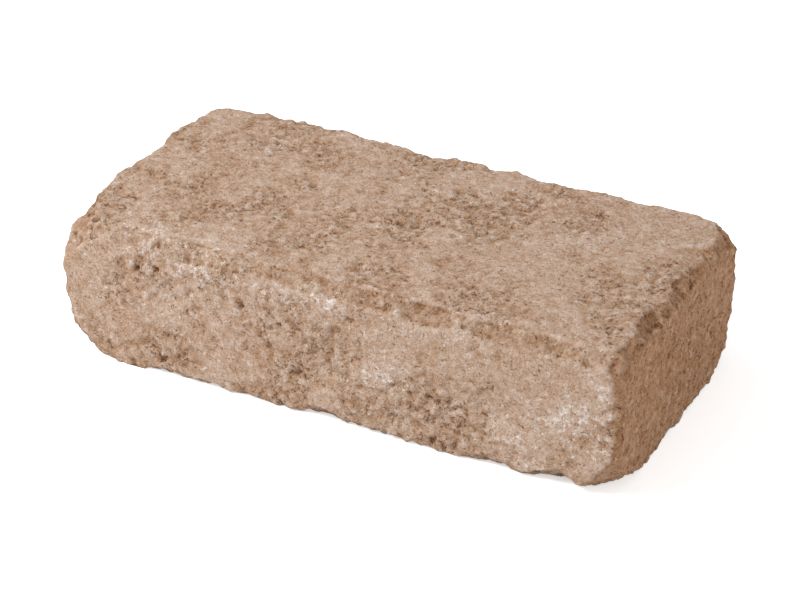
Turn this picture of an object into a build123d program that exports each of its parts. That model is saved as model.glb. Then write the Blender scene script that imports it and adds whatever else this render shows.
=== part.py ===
"""A tumbled concrete paver: one block, pressed in a mould with flat faces and then tumbled in a drum.

Frame: +X along the length, +Y across the width, +Z up. The origin is at the middle of the bed face.
Sizes are in millimetres. Front is -Y, back is +Y, left is -X and right is +X.
"""
from build123d import *

import os
from itertools import product
from math import ceil, cos, exp, pi, sin, sqrt

# The block as it leaves the mould
LENGTH = 240.0
WIDTH = 120.0
THICKNESS = 60.0

# Wear from tumbling: every arris is worn to an arc of its own radius, given by the axis that the arris
# runs along and the signs of the two faces beside it. The bed arrises are worn less than the top ones.
# An arc stands a little proud of the two faces, so it meets them at a visible angle and leaves them flat.
WORN_RADIUS = {
    "x": {(-1, -1): 9.5, (-1, 1): 15.0, (1, -1): 12.0, (1, 1): 15.0},
    "y": {(-1, -1): 12.0, (-1, 1): 15.0, (1, -1): 9.0, (1, 1): 14.0},
    "z": {(-1, -1): 13.0, (-1, 1): 13.0, (1, -1): 10.0, (1, 1): 14.5},
}
PROUD = 2.0

# The wear is uneven along an arris: three waves, each lower than the one before, shifted from arris to arris
WAVE_HEIGHT = 1.3
WAVE_LENGTHS = (74.0, 41.0, 27.0)
PHASE_STEP = 1.3

# Knocked-off corners: how much the arc grows at each corner, and how far along the arris that reaches.
# Keys are the signs of x, y and z at the corner, seen from the middle of the block.
KNOCK_REACH = 11.0
KNOCKS = {
    (1, -1, 1): 3.0,
    (1, 1, 1): 4.0,
    (-1, 1, 1): 8.0,
    (-1, -1, 1): 10.0,
    (1, -1, -1): 12.5,
    (1, 1, -1): 10.0,
    (-1, 1, -1): 8.0,
    (-1, -1, -1): 10.5,
}

# An arc never takes more than this share of the thickness
WORN_LIMIT = 0.45

# The point that three arcs leave at a corner is worn off by a large ball: its radius, how much it takes off
# the point, and how far from the corner it works
CORNER_BALL = 45.0
CORNER_DEPTH = 2.5
CORNER_ZONE = 27.0

# Chips broken out of the arrises: the axis the arris runs along, the signs of the two faces beside it,
# the chip's place along the arris from -1 at one end to 1 at the other, its width and its depth
CHIPS = (
    ("x", (-1, 1), -0.52, 22.0, 1.6),
    ("x", (-1, 1), 0.34, 20.0, 1.8),
    ("x", (1, 1), -0.52, 16.0, 1.6),
    ("x", (1, 1), -0.12, 20.0, 2.8),
    ("x", (1, 1), 0.14, 16.0, 2.0),
    ("x", (1, 1), 0.66, 22.0, 1.6),
    ("x", (-1, -1), -0.32, 12.0, 1.4),
    ("x", (-1, -1), -0.03, 22.0, 3.0),
    ("x", (-1, -1), 0.57, 28.0, 2.2),
    ("x", (-1, -1), 0.80, 20.0, 2.8),
    ("x", (1, -1), -0.50, 24.0, 2.4),
    ("x", (1, -1), 0.38, 20.0, 2.0),
    ("y", (-1, 1), -0.74, 18.0, 2.4),
    ("y", (-1, 1), -0.17, 10.0, 1.2),
    ("y", (-1, 1), 0.68, 14.0, 1.8),
    ("y", (1, 1), -0.45, 16.0, 1.2),
    ("y", (1, 1), 0.05, 18.0, 1.4),
    ("y", (1, 1), 0.48, 12.0, 1.2),
    ("y", (-1, -1), 0.35, 20.0, 2.0),
    ("z", (-1, -1), 0.02, 10.0, 1.8),
    ("z", (-1, 1), 0.20, 14.0, 1.6),
    ("z", (1, 1), 0.40, 9.0, 1.0),
)

# Hollows where the pressed skin broke off a face: the axis that the face looks along, the side it is on,
# the hollow's place on the other two axes from -1 to 1, its width and its depth
HOLLOWS = (
    ("z", 1, (-0.63, -0.40), 26.0, 1.0),
    ("z", 1, (-0.62, 0.58), 26.0, 1.1),
    ("z", 1, (-0.19, 0.60), 20.0, 1.0),
    ("z", 1, (0.29, 0.13), 20.0, 1.2),
    ("z", 1, (0.33, 0.60), 24.0, 1.2),
    ("y", -1, (-0.58, 0.20), 22.0, 1.0),
    ("y", -1, (-0.06, -0.20), 26.0, 1.6),
    ("y", -1, (0.04, 0.20), 14.0, 1.2),
    ("y", -1, (0.60, -0.10), 26.0, 1.2),
    ("x", 1, (-0.33, 0.00), 22.0, 1.0),
    ("x", 1, (0.10, 0.50), 18.0, 1.3),
    ("y", 1, (0.17, 0.10), 26.0, 1.2),
)

# How closely the worn arrises are drawn, and how far the cuts reach past the block
STATION_SPACING = 8.0
OVERRUN = 6.0

AXES = ("x", "y", "z")
SIZES = {"x": LENGTH, "y": WIDTH, "z": THICKNESS}
ARRISES = [(axis, signs) for axis in AXES for signs in product((-1, 1), repeat=2)]


def arris_point(axis, signs, along, out_first, out_second):
    """A point at a distance along an arris from its middle, moved outward from the two faces beside it."""
    first, second = (name for name in AXES if name != axis)
    spot = {
        axis: along,
        first: signs[0] * (SIZES[first] / 2 + out_first),
        second: signs[1] * (SIZES[second] / 2 + out_second),
    }
    return (spot["x"], spot["y"], spot["z"] + THICKNESS / 2)


def worn_radius(axis, signs, along):
    """Radius of the worn arc at a distance along the arris from its middle."""
    shift = PHASE_STEP * ARRISES.index((axis, signs))
    wave = sum(
        sin(2 * pi * along / length + shift * order) / order
        for order, length in enumerate(WAVE_LENGTHS, start=1)
    )
    knock = 0.0
    for end in (-1, 1):
        corner = list(signs)
        corner.insert(AXES.index(axis), end)
        gap = along - end * SIZES[axis] / 2
        knock += KNOCKS[tuple(corner)] * exp(-(gap**2) / (2 * KNOCK_REACH**2))
    return min(WORN_LIMIT * THICKNESS, WORN_RADIUS[axis][signs] + WAVE_HEIGHT * wave + knock)


def worn_section(axis, signs, along):
    """Outline, across the arris, of what tumbling took off there: an arc closed by two lines outside."""
    radius = worn_radius(axis, signs, along)
    foot = PROUD - radius
    crown = foot + radius * cos(pi / 4)
    start = arris_point(axis, signs, along, PROUD, foot)
    middle = arris_point(axis, signs, along, crown, crown)
    end = arris_point(axis, signs, along, foot, PROUD)
    tip = arris_point(axis, signs, along, OVERRUN, OVERRUN)
    return Wire([ThreePointArc(start, middle, end).edge(), Line(end, tip).edge(), Line(tip, start).edge()])


def worn_cut(axis, signs):
    """What tumbling took off along one arris, lofted past both ends of the block."""
    reach = SIZES[axis] / 2 + OVERRUN
    count = ceil(2 * reach / STATION_SPACING)
    stations = [reach * (2 * step / count - 1) for step in range(count + 1)]
    return Solid.make_loft([worn_section(axis, signs, along) for along in stations])


def corner_cut(signs):
    """What tumbling took off one corner: the zone round the corner that lies outside the large ball."""
    corner = [sign * SIZES[axis] / 2 for sign, axis in zip(signs, AXES)]
    radii = [
        worn_radius(axis, signs[:place] + signs[place + 1:], corner[place])
        for place, axis in enumerate(AXES)
    ]
    point = (1 - cos(pi / 4)) * sum(radii) / len(radii) - PROUD
    inset = point + (CORNER_DEPTH + CORNER_BALL) / sqrt(3)
    centre = [value - sign * inset for value, sign in zip(corner, signs)]
    zone = Pos(*corner) * Box(2 * CORNER_ZONE, 2 * CORNER_ZONE, 2 * CORNER_ZONE)
    return Pos(0, 0, THICKNESS / 2) * (zone - Pos(*centre) * Sphere(CORNER_BALL))


def ball_radius(width, depth):
    """Radius of the ball that leaves a hollow of this width and depth in a flat face."""
    return (width**2 / 4 + depth**2) / (2 * depth)


def chip_cut(axis, signs, share, width, depth):
    """The ball that breaks a chip out of a worn arris."""
    along = share * SIZES[axis] / 2
    radius = ball_radius(width, depth)
    crown = PROUD - worn_radius(axis, signs, along) * (1 - cos(pi / 4))
    out = crown + (radius - depth) * cos(pi / 4)
    return Pos(*arris_point(axis, signs, along, out, out)) * Sphere(radius)


def hollow_cut(axis, side, place, width, depth):
    """The ball that leaves a hollow in a flat face."""
    radius = ball_radius(width, depth)
    others = [name for name in AXES if name != axis]
    spot = {name: share * SIZES[name] / 2 for name, share in zip(others, place)}
    spot[axis] = side * (SIZES[axis] / 2 + radius - depth)
    return Pos(spot["x"], spot["y"], spot["z"] + THICKNESS / 2) * Sphere(radius)


def tumbled_paver():
    """The moulded block with its arrises worn, then chipped, and with the skin broken off its faces."""
    block = Pos(0, 0, THICKNESS / 2) * Box(LENGTH, WIDTH, THICKNESS)
    for axis, signs in ARRISES:
        block -= worn_cut(axis, signs)
    for signs in product((-1, 1), repeat=3):
        block -= corner_cut(signs)
    for chip in CHIPS:
        block -= chip_cut(*chip)
    for hollow in HOLLOWS:
        block -= hollow_cut(*hollow)
    return block.solid()


paver = tumbled_paver()
os.makedirs("parts", exist_ok=True)
export_step(paver, "parts/paver.step")
print("paver", paver.bounding_box().size, "volume", round(paver.volume), "faces", len(paver.faces()))
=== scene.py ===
# %% [markdown]
# # A tumbled concrete paver
# The block is pressed in a mould from earth-moist concrete and then rolled in a drum with others, which
# wears its arrises round and knocks the pressed skin off in patches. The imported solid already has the
# size, the worn arrises, the chips and the larger hollows. This lesson lays a fine grid over that solid,
# gives it the relief of broken concrete, and then colours it.

# %% Load the frame
import math

import bpy
import numpy as np
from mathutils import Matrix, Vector


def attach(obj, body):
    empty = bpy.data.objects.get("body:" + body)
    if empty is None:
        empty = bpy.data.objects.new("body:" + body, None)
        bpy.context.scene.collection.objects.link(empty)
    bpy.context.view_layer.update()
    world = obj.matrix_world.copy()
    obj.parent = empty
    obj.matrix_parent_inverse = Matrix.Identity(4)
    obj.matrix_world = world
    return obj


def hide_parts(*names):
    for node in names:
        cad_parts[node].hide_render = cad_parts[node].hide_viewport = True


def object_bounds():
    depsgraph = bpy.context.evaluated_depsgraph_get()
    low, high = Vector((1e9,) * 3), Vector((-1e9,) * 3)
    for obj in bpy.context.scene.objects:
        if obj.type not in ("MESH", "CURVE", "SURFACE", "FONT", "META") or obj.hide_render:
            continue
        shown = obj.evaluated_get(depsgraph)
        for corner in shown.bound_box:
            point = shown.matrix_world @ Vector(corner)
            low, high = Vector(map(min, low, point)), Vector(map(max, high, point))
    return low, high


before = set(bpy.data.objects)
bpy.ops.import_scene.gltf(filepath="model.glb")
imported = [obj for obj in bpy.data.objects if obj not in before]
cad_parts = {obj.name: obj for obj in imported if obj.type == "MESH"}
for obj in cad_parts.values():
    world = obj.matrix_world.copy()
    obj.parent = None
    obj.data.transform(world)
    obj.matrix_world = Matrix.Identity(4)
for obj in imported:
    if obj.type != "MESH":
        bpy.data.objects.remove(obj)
cad_box = [list(corner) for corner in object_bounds()]
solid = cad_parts["paver"]
print("solid from", cad_box[0], "to", cad_box[1])

# %% [markdown]
# ## A grid all round the block
# A rough surface needs many points, spread evenly. The outside of a block is six grids that share their
# borders. They could be made one by one and merged, but a lattice of numbered points is simpler: the points
# on its outside are kept, and each side is a slice of the same numbers. So neighbouring sides meet in the
# same points, and there is no seam to close.

# %% Number the outside points of a lattice
MM = 0.001
GRID_SPACING = 1.03 * MM

low, high = np.array(cad_box)
middle = (low + high) / 2
half = (high - low) / 2
cells = np.round(2 * half / GRID_SPACING).astype(int)


def lattice_shell(counts):
    """Points of a box lattice that lie on its outside, as shares from -1 to 1, and the quads between them.

    A point is outside where one of its indices is the first or the last. Each side is the lattice of
    point numbers sliced at that index, and a quad joins four neighbours of the slice.
    """
    index = np.indices(counts + 1)
    outside = np.zeros(counts + 1, dtype=bool)
    for axis in range(3):
        outside |= (index[axis] == 0) | (index[axis] == counts[axis])
    number = np.full(counts + 1, -1)
    number[outside] = np.arange(outside.sum())
    quads = []
    for axis in range(3):
        for end, turn in ((0, axis != 1), (counts[axis], axis == 1)):
            side = np.take(number, end, axis=axis)
            ring = [side[:-1, :-1], side[1:, :-1], side[1:, 1:], side[:-1, 1:]]
            corners = np.stack(ring[::-1] if turn else ring, axis=-1)
            quads.append(corners.reshape(-1, 4))
    shares = index[:, outside].T / counts * 2 - 1
    return shares, np.concatenate(quads)


shares, quads = lattice_shell(cells)
print("grid of", cells, "cells:", len(shares), "points and", len(quads), "quads")

# %% [markdown]
# ## From arrays to a mesh
# Blender takes points and faces straight from arrays, which is much quicker than adding them one by one.
# The same small function makes the grid, the finished block and the floor.

# %% A mesh from arrays


def mesh_from_arrays(name, points, faces):
    """A mesh of quads from a point array and an array of point numbers, four to a face."""
    mesh = bpy.data.meshes.new(name)
    mesh.vertices.add(len(points))
    mesh.vertices.foreach_set("co", points.astype(np.float32).ravel())
    mesh.loops.add(faces.size)
    mesh.loops.foreach_set("vertex_index", faces.astype(np.int32).ravel())
    mesh.polygons.add(len(faces))
    mesh.polygons.foreach_set("loop_start", np.arange(0, faces.size, 4, dtype=np.int32))
    mesh.update(calc_edges=True)
    return mesh


print("meshes are made from arrays of points and quads")

# %% [markdown]
# ## Laying the grid on the solid
# Each grid point looks at the nearest point of a smaller box inside the block. Over a flat face that
# look is straight down, and round an arris it turns like a fan. A Shrinkwrap modifier then drops the
# points along these looks onto the solid, and a Smooth modifier eases the hard lines that the cuts left.
# The result is read back into an array, so the relief can be added to it with plain arithmetic.

# %% Drop the points onto the solid
FAN = 24 * MM
CLEARANCE = 20 * MM
EASING = 0.5
EASING_STEPS = 5


def laid_on_solid(shares, quads):
    """Points and normals of the grid laid on the solid: inner box point plus fan direction, shrunk on."""
    box_points = shares * half
    inner = np.clip(box_points, FAN - half, half - FAN)
    look = box_points - inner
    look /= np.linalg.norm(look, axis=1, keepdims=True)
    start = middle + inner + look * (FAN + CLEARANCE)
    shell = bpy.data.objects.new("shell", mesh_from_arrays("shell", start, quads))
    bpy.context.scene.collection.objects.link(shell)
    wrap = shell.modifiers.new("lay", "SHRINKWRAP")
    wrap.target = solid
    wrap.wrap_method = "PROJECT"
    wrap.use_negative_direction = True
    wrap.use_positive_direction = False
    ease = shell.modifiers.new("ease", "SMOOTH")
    ease.factor = EASING
    ease.iterations = EASING_STEPS
    laid = shell.evaluated_get(bpy.context.evaluated_depsgraph_get()).data
    points = np.empty(len(shares) * 3, dtype=np.float32)
    normals = np.empty(len(shares) * 3, dtype=np.float32)
    laid.vertices.foreach_get("co", points)
    laid.vertex_normals.foreach_get("vector", normals)
    bpy.data.objects.remove(shell)
    return points.reshape(-1, 3).astype(float), normals.reshape(-1, 3).astype(float)


base, normal = laid_on_solid(shares, quads)
print("laid on the solid from", base.min(axis=0), "to", base.max(axis=0))

# %% [markdown]
# ## Random numbers for places
# Concrete is random, but every run has to give the same block. So the random numbers belong to places: each
# whole-numbered cell of space gets its own number, worked out by multiplying with large primes and mixing
# the bits. A seed gives each use its own set of numbers.

# %% A random number for each cell
CELL_PRIMES = np.array([374761393, 668265263, 2147483629])
SEED_PRIME = 1274126177
# Each step of mixing: by how many bits the number is shifted, and what it is multiplied with
MIXING_STEPS = ((13, 1103515245), (15, 1274126177))
LAST_SHIFT = 13
KEEP_31_BITS = 0x7FFFFFFF
KEEP_24_BITS = 0xFFFFFF


def cell_hash(cell, seed):
    """A fixed random number from 0 to 1 for each whole-numbered cell: multiply, mix the bits, mask."""
    key = cell.astype(np.int64) @ CELL_PRIMES + seed * SEED_PRIME
    for shift, factor in MIXING_STEPS:
        key = (key ^ (key >> shift)) * factor & KEEP_31_BITS
    return ((key ^ (key >> LAST_SHIFT)) & KEEP_24_BITS) / (KEEP_24_BITS + 1)


sample = cell_hash(np.floor(base / GRID_SPACING), 1)
print("random numbers from %.3f to %.3f, mean %.3f" % (sample.min(), sample.max(), sample.mean()))

# %% [markdown]
# ## Noise as arrays
# The sizes in concrete are known: sand of about a millimetre, gravel of several, and patches of skin the
# size of a coin. Smooth noise of a given size gives the patches, finer layers make their borders ragged, and
# a smooth step turns a noise into a patch with a border. Three noises, one for each axis, push points about,
# which takes the regular look off whatever is worked out from them.

# %% Noise
SEED_SHIFT = 17.31
NOISE_GAIN = 1.6


def noise(points, size, seed):
    """Smooth noise of about -1 to 1: random slopes at lattice corners, blended across each cell.

    The blend is 6 t^5 - 15 t^4 + 10 t^3, which is level at both ends, so the cells don't show.
    """
    spot = points / size + seed * SEED_SHIFT
    cell = np.floor(spot)
    inside = spot - cell
    blend = inside**3 * (inside * (inside * 6 - 15) + 10)
    total = np.zeros(len(points))
    for corner in np.ndindex(2, 2, 2):
        step = np.array(corner)
        slope = np.stack([cell_hash(cell + step, seed * 3 + axis) for axis in range(3)], axis=1) * 2 - 1
        weight = np.where(step == 1, blend, 1 - blend).prod(axis=1)
        total += weight * (slope * (inside - step)).sum(axis=1)
    return total * NOISE_GAIN


def layered(points, size, seed, layers):
    """Sum of noises, each of half the size and half the height of the one before."""
    return sum(noise(points, size / 2**n, seed + n) / 2**n for n in range(layers))


def push(points, amount, size, seed):
    """How far each point is pushed: an amount times three noises, one for each axis."""
    return amount * np.stack([noise(points, size, seed + axis) for axis in range(3)], axis=1)


def ramp(value, start, end):
    """Smooth step from 0 at start to 1 at end: 3 t^2 - 2 t^3 of the share t of the way."""
    t = np.clip((value - start) / (end - start), 0, 1)
    return t * t * (3 - 2 * t)


sample = noise(base, 10 * MM, 1)
print("noise at 10 mm spans %.2f to %.2f" % (sample.min(), sample.max()))

# %% [markdown]
# ## Grains and pits as arrays
# Gravel is a crowd of rounded grains, and a pit is the bed of a grain that fell out. Both come from points
# scattered one to a lattice cell: the distance to the nearest of them gives the grains, and a bowl round
# some of them gives the pits. Looking only at the neighbouring cells keeps it quick.

# %% Grains and pits
PIT_STEEPNESS = 1.6


def scattered(points, spacing, seed):
    """The cells round each point, and the way from the point to the one scattered place in each cell."""
    home = np.floor(points / spacing)
    for offset in np.ndindex(3, 3, 3):
        cell = home + np.array(offset) - 1
        jitter = np.stack([cell_hash(cell, seed + axis) for axis in range(3)], axis=1)
        yield cell, np.linalg.norm(points - (cell + jitter) * spacing, axis=1)


def grains(points, spacing, seed):
    """Distance to the nearest of many grains, in spacings: 0 on a grain, about 0.7 between grains."""
    nearest = np.full(len(points), np.inf)
    for _, way in scattered(points, spacing, seed):
        nearest = np.minimum(nearest, way / spacing)
    return nearest


def pits(points, spacing, radii, share, seed):
    """Depth from 0 to 1 of pits: a bowl in a share of the cells, as a parabola cut off to a flat bottom."""
    depth = np.zeros(len(points))
    for cell, way in scattered(points, spacing, seed):
        radius = radii[0] + (radii[1] - radii[0]) * cell_hash(cell, seed + 3) ** 2
        there = cell_hash(cell, seed + 4) < share
        bowl = np.clip(PIT_STEEPNESS - PIT_STEEPNESS * (way / radius) ** 2, 0, 1)
        depth = np.maximum(depth, np.where(there, bowl, 0))
    return depth


print("grains and pits look at 27 cells round each of", len(base), "points")

# %% [markdown]
# ## Arrises and the right end
# Tumbling treats the arrises and the faces differently, and the right end of this block is barer than the
# rest. The normal of a point says where it lies: on a flat face it runs along one axis, and on an arris it
# is shared between two or three.

# %% Find the arrises and the right end
ARRIS_TURN = (0.02, 0.22)
END_TURN = (0.30, 0.85)
# Both masks also carry painted shade into the material: a darker tint on the arrises and a browner one on the
# right end
arris = ramp(1 - np.abs(normal).max(axis=1), *ARRIS_TURN)
right_end = ramp(normal[:, 0], *END_TURN)
print("arrises on %.0f %%, right end on %.0f %%" % (100 * arris.mean(), 100 * right_end.mean()))

# %% [markdown]
# ## Where the pressed skin is left
# The mould presses a smooth, pale skin on every face, and the drum knocks it off in patches. Noise
# decides where, and a list of soft round spots puts the larger patches where the real block has them:
# a positive spot keeps the skin, a negative one opens the ground to bare brown sand. Along the arrises
# there is less skin, and the right end has lost nearly all of it.

# %% Skin and open ground
WARP = dict(amount=1.2 * MM, size=6 * MM, seed=21)
SKIN_NOISE = dict(size=20 * MM, seed=11, layers=5)
SKIN_PATCHINESS = 0.8
SKIN_BORDER = (-0.25, 0.35)
OPEN_NOISE = dict(size=9 * MM, seed=61)
OPEN_PATCHINESS = 0.5
OPEN_BORDER = (0.05, 0.55)
# How much less skin there is on the right end and on the arrises, and how much less open ground on the end
END_LESS_SKIN = 0.8
ARRIS_LESS_SKIN = 0.4
END_LESS_OPEN = 0.5
# Each spot: its place in x, y and z, its radius in millimetres, and its amount
SKIN_SPOTS = (
    (-102, 48, 60, 12, 0.5), (-17, 33, 60, 16, 0.5), (83, 44, 60, 24, 0.6), (107, 30, 60, 16, 0.5),
    (98, -60, 45, 16, 0.5), (30, -60, 40, 14, 0.5), (-45, -60, 18, 16, 0.4), (60, -10, 60, 14, 0.3),
    (-85, 43, 60, 9, -0.6), (-64, 39, 60, 9, -0.6), (4, -7, 60, 9, -0.5), (34, 7, 60, 10, -0.6),
    (-22, 45, 60, 10, -0.5), (38, 40, 60, 12, -0.6), (24, 23, 60, 9, -0.4), (-76, -24, 60, 16, -0.4),
    (-3, -60, 27, 9, -1.2), (7, -60, 36, 8, -1.1), (-14, -60, 15, 9, -1.2), (-22, -60, 40, 10, -0.5),
    (78, -60, 46, 8, -0.5), (83, -60, 20, 10, -0.3), (65, -60, 28, 9, -0.1), (52, -60, 12, 9, -0.5),
    (110, -42, 60, 9, -0.7), (111, -20, 60, 9, -0.7), (112, 4, 60, 9, -0.7), (113, 24, 60, 9, -0.7),
)


def spotted(points, spots):
    """Sum of soft round spots: the amount at the middle of each, fading outward as a bell."""
    total = np.zeros(len(points))
    for x, y, z, radius, amount in spots:
        gap = np.linalg.norm(points - np.array([x, y, z]) * MM, axis=1) / (radius * MM)
        total += amount * np.exp(-gap**2)
    return total


warped = base + push(base, **WARP)
skin_level = SKIN_PATCHINESS * layered(warped, **SKIN_NOISE) + spotted(base, SKIN_SPOTS)
skin_level -= END_LESS_SKIN * right_end
skin = ramp(skin_level - ARRIS_LESS_SKIN * arris, *SKIN_BORDER)
open_ground = ramp(OPEN_PATCHINESS * noise(base, **OPEN_NOISE) - skin_level, *OPEN_BORDER)
open_ground *= 1 - END_LESS_OPEN * right_end
print("skin on %.0f %%, open ground on %.0f %%" % (100 * skin.mean(), 100 * open_ground.mean()))

# %% [markdown]
# ## Lime bloom
# Where water dried out of the concrete it left lime, and rubbing broke the lime into pale crumbs. On this
# block it lies along the front top arris and in patches on the front, most of all on the right. The same
# soft spots say where, and the material breaks them into crumbs later.

# %% Lime bloom
BLOOM_NOISE = dict(size=18 * MM, seed=81, layers=3)
BLOOM_PATCHINESS = 0.5
BLOOM_SPOTS = (
    (-80, -58, 58, 13, 0.8), (-55, -58, 57, 13, 1.0), (-98, -60, 36, 9, 0.6), (-17, -60, 53, 10, 0.7),
    (1, -60, 51, 8, 0.9), (50, -60, 58, 10, 0.4), (112, -60, 42, 10, 0.9), (116, -60, 20, 9, 0.7),
    (98, -60, 30, 11, 0.9), (-70, -60, 30, 14, 0.4), (-30, -60, 26, 12, 0.3), (75, -60, 12, 11, 0.8),
    (-5, 25, 60, 12, 0.3), (45, 15, 60, 12, 0.3), (-108, -50, 50, 10, 0.5), (62, -50, 60, 9, 0.4),
    (25, -60, 27, 15, 0.45), (33, -60, 50, 9, 0.6), (30, -60, 6, 9, 0.5), (-28, -60, 48, 9, 0.6),
)
bloom = spotted(base, BLOOM_SPOTS) + BLOOM_PATCHINESS * layered(warped, **BLOOM_NOISE)
bloom = np.clip(bloom, 0, 1) * (1 - right_end)
print("bloom covers %.0f %% of the surface" % (100 * bloom.mean()))

# %% [markdown]
# ## Skin, gravel and grit
# Smooth skin stands a little higher than the ground it came off, and the bare ground is rough with gravel
# and grit. Tumbling has rubbed the arrises and the right end smoother. All heights are lengths, so they can
# be judged against the block, and they are added together before any point is moved. A displacement in the
# material could look the same in a render, but the mesh itself would stay smooth.

# %% Skin, gravel and grit
SWELL_NOISE = dict(size=40 * MM, seed=91)
SWELL_HEIGHT = 0.5 * MM
SKIN_STEP = 0.45 * MM
SKIN_ZERO = 0.6
GRAVEL = dict(spacing=3.9 * MM, seed=31)
GRAVEL_ZERO = 0.5
GRAVEL_HEIGHT = 1.7 * MM
GRIT_NOISE = dict(size=2.6 * MM, seed=41, layers=2)
GRIT_HEIGHT = 0.7 * MM
# How much smoother the surface is under skin, on the arrises and on the right end
SKIN_SMOOTHER = 0.8
ARRIS_SMOOTHER = 0.4
END_SMOOTHER = 0.25

broken = (1 - SKIN_SMOOTHER * skin) * (1 - ARRIS_SMOOTHER * arris) * (1 - END_SMOOTHER * right_end)
gravel = GRAVEL_ZERO - grains(warped, **GRAVEL)
grit = layered(base, **GRIT_NOISE)
height = SWELL_HEIGHT * noise(base, **SWELL_NOISE) + SKIN_STEP * (skin - SKIN_ZERO)
height += broken * (GRAVEL_HEIGHT * gravel + GRIT_HEIGHT * grit)
print("gravel and grit from %.2f to %.2f mm" % (height.min() / MM, height.max() / MM))

# %% [markdown]
# ## Crumbled arrises
# The concrete along the arrises crumbled in scallops as long as a fingertip is wide. Along the top of the
# front and of the right end it broke more, in shorter pieces, and lost a little all along. Noise of these
# two sizes, kept to the arrises, gives both.

# %% Crumbled arrises
CRUMBLE_NOISE = dict(size=13 * MM, seed=51, layers=3)
CRUMBLE_HEIGHT = 1.7 * MM
BAND_TURN = (0.1, 0.4)
BAND_NOISE = dict(size=7 * MM, seed=101, layers=3)
BAND_HEIGHT = 1.2 * MM
BAND_LOSS = 0.2

outward = np.maximum(normal[:, 0], -normal[:, 1])
band = ramp(outward, *BAND_TURN) * ramp(normal[:, 2], *BAND_TURN)
height += CRUMBLE_HEIGHT * arris * layered(base, **CRUMBLE_NOISE)
height += BAND_HEIGHT * band * (layered(warped, **BAND_NOISE) - BAND_LOSS)
print("with crumbled arrises from %.2f to %.2f mm" % (height.min() / MM, height.max() / MM))

# %% [markdown]
# ## Pits
# Where grains fell out they left pits with steep sides, most of them in open ground and some on the
# arrises. The points are pushed about before the pits are placed, so the pits come out ragged and not round.

# %% Pits
PITS = dict(spacing=4.4 * MM, radii=(0.9 * MM, 2.1 * MM), share=0.5, seed=71)
PIT_WARP = dict(amount=1.0 * MM, size=2.4 * MM, seed=24)
PIT_DEPTH = 1.4 * MM
# The share of the depth that pits have where no ground is open, and on the arrises
PIT_LEAST = 0.25
PIT_ON_ARRIS = 0.5

pit = pits(warped + push(base, **PIT_WARP), **PITS)
pit *= np.maximum(PIT_LEAST + (1 - PIT_LEAST) * open_ground, PIT_ON_ARRIS * arris)
height -= PIT_DEPTH * pit
print("relief from %.2f to %.2f mm" % (height.min() / MM, height.max() / MM))

# %% [markdown]
# ## Hollows and high spots
# Hollows are painted darker, as painted shade, and high spots paler, as painted light. To find them, the
# relief is compared with its own average over the neighbouring grid points. Every quad lists its corners in a
# ring, so the pairs of corners along its sides are all the neighbours there are.

# %% Measure the hollows
AVERAGING_STEPS = 14
links = np.concatenate([quads[:, [side, (side + 1) % 4]] for side in range(4)])
neighbours = np.bincount(links[:, 0])


def spread(values, steps):
    """Average of each point with the mean of its grid neighbours, done a number of times."""
    for _ in range(steps):
        around = np.bincount(links[:, 0], weights=values[links[:, 1]]) / neighbours
        values = (values + around) / 2
    return values


# painted shade and light: how far each point lies below or above its surroundings, so the material can paint
# hollows darker and high spots paler
relief_shading = (height - spread(height, AVERAGING_STEPS)) / MM
print("high spots up to %.2f mm, hollows down to %.2f mm" % (relief_shading.max(), relief_shading.min()))

# %% [markdown]
# ## The block
# The relief moves each grid point along its normal. The block was pressed in a mould, so nothing may stand
# proud of the mould's walls, and points that would are held at the solid's box. What was worked out about
# skin, lime, arrises, the right end and hollows is stored on the points, where the material can read it. The
# last three carry painted shade and light into the colour.

# %% Make the paver
surface = np.clip(base + normal * height[:, None], low, high)
paver = bpy.data.objects.new("paver_block", mesh_from_arrays("paver_block", surface, quads))
bpy.context.scene.collection.objects.link(paver)
paver.data.polygons.foreach_set("use_smooth", np.ones(len(quads), dtype=bool))
# Besides real patterns, the points carry painted shade and light: for the hollows, the arrises and the right
# end
point_values = {
    "skin": skin, "open": open_ground, "arris": arris, "bloom": bloom, "relief_shading": relief_shading, "end_shade": right_end,
}
for name, values in point_values.items():
    layer = paver.data.attributes.new(name, "FLOAT", "POINT")
    layer.data.foreach_set("value", values.astype(np.float32))
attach(paver, "root")
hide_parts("paver")
print("paver of", 2 * len(quads), "triangles, with", ", ".join(point_values))

# %% [markdown]
# ## Two helpers for materials
# Colours are easiest to read as the hex codes of a colour picker, but shaders work in linear light, so one
# function turns one into the other. A second one adds a node, sets it up and links it, which keeps each
# step of a material on a line or two.

# %% Helpers for materials


def linear(code):
    """Linear colour from an sRGB hex code: the standard curve, a line near black and a power above it."""
    values = np.array([int(code[place:place + 2], 16) for place in (1, 3, 5)]) / 255
    values = np.where(values <= 0.04045, values / 12.92, ((values + 0.055) / 1.055) ** 2.4)
    return (*values.tolist(), 1.0)


def add_node(tree, kind, inputs=None, **settings):
    """A node with its settings, whose inputs are values or the sockets that feed them."""
    node = tree.nodes.new(kind)
    for name, value in settings.items():
        setattr(node, name, value)
    for name, value in (inputs or {}).items():
        if isinstance(value, bpy.types.NodeSocket):
            tree.links.new(value, node.inputs[name])
        else:
            node.inputs[name].default_value = value
    return node


print("mid brown #b89b86 is", [round(value, 3) for value in linear("#b89b86")[:3]], "in linear light")
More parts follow.
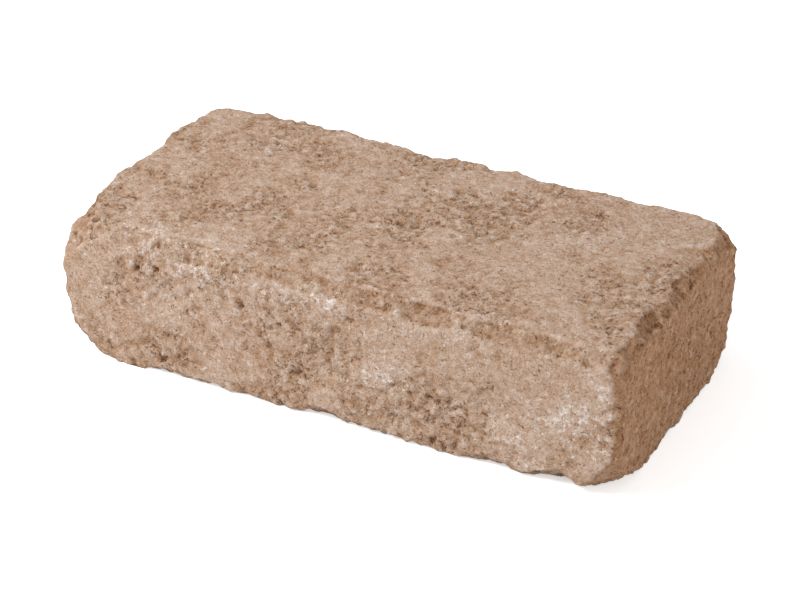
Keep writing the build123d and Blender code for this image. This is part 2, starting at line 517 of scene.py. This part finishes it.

# %% [markdown]
# ## Concrete, pressed and tumbled
# The colour of this concrete is mostly its own: brown pigment in the cement paste, darker in broken ground,
# paler where the paste is smooth or lime has bloomed. The pores are darker too, partly as painted shade in
# them, and some layers and tints below are painted shade and light. The surface is dry and matte all over. A
# photograph could be wrapped round the block, but patterns of known sizes hold up from every side. First
# come the plain noise patterns. Real sand goes down to a tenth of a millimetre, too fine to show, so the
# finest pattern here is drawn at more than half a millimetre.

# %% Patterns in the concrete
# Each pattern: its size, its layers of detail, and how strong the finer layers are
NOISE_PATTERNS = {
    "ragged": (4.5 * MM, 4.0, 0.8),
    "sand": (0.65 * MM, 1.0, 0.7),
    "mottle": (9 * MM, 2.0, 0.6),
    "drift": (30 * MM, 3.0, 0.6),
    "crumb": (2.2 * MM, 3.0, 0.75),
    "pore": (1.5 * MM, 3.0, 0.75),
    "group": (6 * MM, 3.0, 0.7),
}
concrete = bpy.data.materials.new("tumbled_brown_concrete")
concrete.use_nodes = True
tree = concrete.node_tree
tree.nodes.clear()
place = add_node(tree, "ShaderNodeTexCoord").outputs["Object"]
pattern = {
    name: add_node(tree, "ShaderNodeAttribute", attribute_name=name).outputs["Fac"] for name in point_values
}
for name, (size, detail, roughness) in NOISE_PATTERNS.items():
    pattern[name] = add_node(tree, "ShaderNodeTexNoise", {
        "Vector": place, "Scale": 1 / size, "Detail": detail, "Roughness": roughness,
    }).outputs["Fac"]
print("patterns:", ", ".join(pattern))

# %% [markdown]
# ## Sand grains
# Each grain of sand has a tone of its own. A Voronoi texture gives every cell a random colour, which serves
# as that tone. Its cells have straight sides, so the coordinates are bent by noise first, which makes the
# grains ragged. A few of the larger grains, the small stones, are white quartz.

# %% Sand grains and quartz
GRAIN_SIZES = {"grain": 0.9 * MM, "stone": 1.8 * MM}
QUARTZ_SHARE = 0.06
BEND = 2 * MM
BEND_DETAIL = 2.0
NOISE_MIDDLE = 0.5

bend = add_node(tree, "ShaderNodeTexNoise", {
    "Vector": place, "Scale": 1 / BEND, "Detail": BEND_DETAIL,
}).outputs["Color"]
bend = add_node(tree, "ShaderNodeVectorMath", {
    0: bend, 1: [NOISE_MIDDLE] * 3,
}, operation="SUBTRACT").outputs[0]
bent = add_node(tree, "ShaderNodeVectorMath", {
    0: bend, 1: [BEND] * 3, 2: place,
}, operation="MULTIPLY_ADD").outputs[0]
tones = {}
for name, size in GRAIN_SIZES.items():
    cell = add_node(tree, "ShaderNodeTexVoronoi", {"Vector": bent, "Scale": 1 / size})
    tones[name] = add_node(tree, "ShaderNodeSeparateColor", {"Color": cell.outputs["Color"]}).outputs
    pattern[name] = tones[name]["Red"]
    pattern[name + " dome"] = cell.outputs["Distance"]
pattern["quartz"] = add_node(tree, "ShaderNodeMapRange", {
    "Value": tones["stone"]["Green"], "From Min": 1 - QUARTZ_SHARE, "From Max": 1.0,
}).outputs["Result"]
print("grains:", ", ".join("%s of %.1f mm" % (name, size / MM) for name, size in GRAIN_SIZES.items()))

# %% [markdown]
# ## Ragged ground
# Where the skin has gone, pale paste and brown sand meet along ragged borders. A noise with many fine layers
# has such borders at its middle value, so a narrow step there is enough, and open ground shows it most.

# %% Ragged ground
RAGGED_BORDER = (0.45, 0.55)
RAGGED_LEAST = 0.55
RAGGED_MORE_IN_OPEN = 0.4

border = add_node(tree, "ShaderNodeMapRange", {
    "Value": pattern["ragged"], "From Min": RAGGED_BORDER[0], "From Max": RAGGED_BORDER[1],
    "To Min": -0.5, "To Max": 0.5,
}, interpolation_type="SMOOTHSTEP").outputs["Result"]
shown = add_node(tree, "ShaderNodeMath", {
    0: pattern["open"], 1: RAGGED_MORE_IN_OPEN, 2: RAGGED_LEAST,
}, operation="MULTIPLY_ADD").outputs[0]
pattern["ragged"] = add_node(tree, "ShaderNodeMath", {0: border, 1: shown}, operation="MULTIPLY").outputs[0]
print("ragged borders from noise values of %.2f to %.2f" % RAGGED_BORDER)

# %% [markdown]
# ## Pores and crumbs
# Pores are the lowest values of a noise, and they come in groups and in open ground. Crumbs of lime are the
# highest values of another, and there are more of them where lime has bloomed. So each is its noise with
# other patterns added to it, cut at a level.

# %% Pores and crumbs
# Each cut: the patterns that are added and how much of them, the level where it starts and where it is full
CUTS = {
    # The pores are darkened in the tone below, partly as painted shade in them
    "pore": ({"open": -0.05, "group": 0.45}, 0.595, 0.545),
    "crumb": ({"bloom": 0.15}, 0.66, 0.70),
}
for name, (additions, start, full) in CUTS.items():
    level = pattern[name]
    for source, amount in additions.items():
        level = add_node(tree, "ShaderNodeMath", {
            0: pattern[source], 1: amount, 2: level,
        }, operation="MULTIPLY_ADD").outputs[0]
    pattern[name] = add_node(tree, "ShaderNodeMapRange", {
        "Value": level, "From Min": start, "From Max": full,
    }, interpolation_type="SMOOTHSTEP").outputs["Result"]
    print(name, "starts at a level of", start, "and is full at", full)

# %% [markdown]
# ## Tone and colour
# All patterns add up to one tone from dark to pale, and a colour ramp turns the tone into the concrete's
# colours. Concrete of one mix has one family of colours, rich brown when dark and nearly grey when pale, so
# a single ramp keeps them together. Each pattern has an amount and the mean it has over the block, which
# is taken off so that the tone stays in the middle. The layer of hollows and high spots is painted shade and
# painted light, and the pores are darker partly as painted shade. Two tints are multiplied in as painted
# shade: a browner one on the right end, which lies in shade, and a darker one on the arrises, which catch
# the most light.

# %% Tone and colour of the concrete
MIDDLE_TONE = 0.535
# The layer of hollows and high spots paints shade in the hollows and light on the high spots, and the pore
# layer darkens the pores partly as painted shade
# Each layer: its pattern, its amount, and the pattern's mean
TONE_LAYERS = (
    ("ragged", 0.15, 0.0), ("grain", 0.20, 0.5), ("stone", 0.07, 0.5), ("sand", 0.42, 0.5),
    ("mottle", 0.18, 0.5), ("drift", 0.12, 0.5), ("skin", 0.06, 0.5), ("relief_shading", 0.20, 0.0),
    ("pore", -0.30, 0.1), ("bloom", 0.10, 0.2), ("crumb", 0.30, 0.05), ("quartz", 0.14, 0.03),
)
COLOUR_STOPS = (
    (0.0, "#6a4426"), (0.14, "#82593b"), (0.29, "#987253"), (0.43, "#aa886c"),
    (0.57, "#b89b86"), (0.71, "#c4ac9a"), (0.86, "#d2c0b3"), (1.0, "#e1d4cb"),
)
# Both tints are painted shade: browner on the right end, which lies in shade, darker on the arrises, which
# catch the most light
TINTS = {"end_shade": "#f6e2ca", "arris": "#f0ece6"}

tone = MIDDLE_TONE - sum(amount * mean for _, amount, mean in TONE_LAYERS)
for name, amount, _ in TONE_LAYERS:
    tone = add_node(tree, "ShaderNodeMath", {
        0: pattern[name], 1: amount, 2: tone,
    }, operation="MULTIPLY_ADD").outputs[0]
colours = add_node(tree, "ShaderNodeValToRGB", {"Fac": tone})
for spot, _ in COLOUR_STOPS[1:-1]:
    colours.color_ramp.elements.new(spot)
for stop, (spot, code) in zip(colours.color_ramp.elements, COLOUR_STOPS):
    stop.position = spot
    stop.color = linear(code)
colour = colours.outputs["Color"]
# Multiply in the painted shade of the right end and the arrises
for name, code in TINTS.items():
    colour = add_node(tree, "ShaderNodeMix", {
        0: pattern[name], 6: colour, 7: linear(code),
    }, data_type="RGBA", blend_type="MULTIPLY").outputs[2]
print(len(TONE_LAYERS), "patterns set the tone, and", len(TINTS), "tints are multiplied in")

# %% [markdown]
# ## Fine relief
# Sand and pores are finer than the grid of points, so they are drawn as bump, which tilts the light on the
# surface without moving it. Their heights are in millimetres too. Dry concrete scatters light evenly, so the
# roughness is close to 1 and the highlights are all but gone.

# %% Sand and pores as bump
FINE_HEIGHTS = {
    "ragged": 0.25, "sand": 0.50, "grain dome": -0.15, "stone dome": -0.20, "pore": -0.30, "crumb": 0.08,
}
DRY_ROUGHNESS = 0.93

fine = 0.0
for name, amount in FINE_HEIGHTS.items():
    fine = add_node(tree, "ShaderNodeMath", {
        0: pattern[name], 1: amount, 2: fine,
    }, operation="MULTIPLY_ADD").outputs[0]
bump = add_node(tree, "ShaderNodeBump", {"Height": fine, "Strength": 1.0, "Distance": MM})
shader = add_node(tree, "ShaderNodeBsdfPrincipled", {
    "Base Color": colour, "Roughness": DRY_ROUGHNESS, "Normal": bump.outputs["Normal"],
})
add_node(tree, "ShaderNodeOutputMaterial", {"Surface": shader.outputs["BSDF"]})
paver.data.materials.append(concrete)
print("material", concrete.name, "of", len(tree.nodes), "nodes")

# %% [markdown]
# ## The floor
# The block lies on a white studio floor that runs out of the picture. A floor lit by lamps alone would be
# grey, so it also glows a little, but only for rays from the camera, mirrors and glass. That leaves the
# light on the block as it is and keeps the block's shadow.

# %% Floor
FLOOR_REACH = 3.0
FLOOR_GLOW = 0.5


def seen_directly(tree):
    """1 for rays from the camera, in mirrors and through glass, 0 for light that bounces on."""
    ray = add_node(tree, "ShaderNodeLightPath").outputs
    seen = ray["Is Camera Ray"]
    for kind in ("Is Glossy Ray", "Is Transmission Ray"):
        seen = add_node(tree, "ShaderNodeMath", {
            0: seen, 1: ray[kind],
        }, operation="ADD", use_clamp=True).outputs[0]
    return seen


corners = FLOOR_REACH * np.array([[-1, -1, 0], [1, -1, 0], [1, 1, 0], [-1, 1, 0]])
floor = bpy.data.objects.new("floor", mesh_from_arrays("floor", corners, np.array([[0, 1, 2, 3]])))
bpy.context.scene.collection.objects.link(floor)
white = bpy.data.materials.new("white_studio_floor")
white.use_nodes = True
tree = white.node_tree
tree.nodes.clear()
glow = add_node(tree, "ShaderNodeMapRange", {
    "Value": seen_directly(tree), "To Max": FLOOR_GLOW,
}).outputs["Result"]
matte = add_node(tree, "ShaderNodeBsdfDiffuse", {"Color": linear("#f2f2f2")}).outputs[0]
lift = add_node(tree, "ShaderNodeEmission", {"Strength": glow}).outputs[0]
both = add_node(tree, "ShaderNodeAddShader", {0: matte, 1: lift}).outputs[0]
add_node(tree, "ShaderNodeOutputMaterial", {"Surface": both})
floor.data.materials.append(white)
print("floor of", 2 * FLOOR_REACH, "m")

# %% [markdown]
# ## The room
# A white room gives most of the light. It is seen as plain white, and it lights the block at a lower
# level, so that the colours come out as they are written.

# %% Room light
ROOM_LIGHT = 0.56
SEEN_AS_WHITE = 1.0

world = bpy.data.worlds.new("studio")
world.use_nodes = True
bpy.context.scene.world = world
tree = world.node_tree
tree.nodes.clear()
level = add_node(tree, "ShaderNodeMapRange", {
    "Value": seen_directly(tree), "To Min": ROOM_LIGHT, "To Max": SEEN_AS_WHITE,
}).outputs["Result"]
room = add_node(tree, "ShaderNodeBackground", {"Color": linear("#ffffff"), "Strength": level})
add_node(tree, "ShaderNodeOutputWorld", {"Surface": room.outputs[0]})
print("room light of", ROOM_LIGHT)

# %% [markdown]
# ## The lamps
# A round lamp at the front left makes the top and the front equally bright and leaves the right end in
# shade, and a weak lamp on the right lifts that shade a little. The lamps are large, so the shadows are soft.

# %% Lamps
LAMP_DISTANCE = 1.3
# Each lamp: its name, its size in metres, its power in watts and the way to it from the block
LAMPS = (
    ("key", 0.4, 12.0, (-0.60, -0.52, 0.81)),
    ("side", 0.6, 3.0, (0.85, -0.20, 0.50)),
)
for name, size, power, way in LAMPS:
    lamp = bpy.data.lights.new(name, "AREA")
    lamp.shape = "DISK"
    lamp.size = size
    lamp.energy = power
    lamp_object = bpy.data.objects.new(name, lamp)
    bpy.context.scene.collection.objects.link(lamp_object)
    lamp_object.location = Vector(way).normalized() * LAMP_DISTANCE
    lamp_object.rotation_euler = Vector(way).to_track_quat("Z", "Y").to_euler()
    print(name, "lamp at", [round(value, 2) for value in lamp_object.location])

# %% [markdown]
# ## The camera
# The camera looks at the block from the front right and from above, from about a metre away with a long
# lens, so the sides of the block run nearly parallel. The angles and the small shift were fitted to the
# corners of the block.

# %% Camera
AZIMUTH = math.radians(27.395)
ELEVATION = math.radians(29.935)
DISTANCE = 1.0293
LENS = 117.54
SENSOR_WIDTH = 36.0
SHIFT_X = 0.0014
SHIFT_Y = -0.0206

camera = bpy.data.cameras.new("camera")
camera.lens = LENS
camera.sensor_width = SENSOR_WIDTH
camera.shift_x = SHIFT_X
camera.shift_y = SHIFT_Y
camera_object = bpy.data.objects.new("camera", camera)
way = Vector((
    math.sin(AZIMUTH) * math.cos(ELEVATION),
    -math.cos(AZIMUTH) * math.cos(ELEVATION),
    math.sin(ELEVATION),
))
camera_object.location = Vector(middle) + way * DISTANCE
camera_object.rotation_euler = way.to_track_quat("Z", "Y").to_euler()
bpy.context.scene.collection.objects.link(camera_object)
bpy.context.scene.camera = camera_object
bpy.context.scene.view_settings.view_transform = "Standard"
print("camera at", [round(value, 3) for value in camera_object.location])
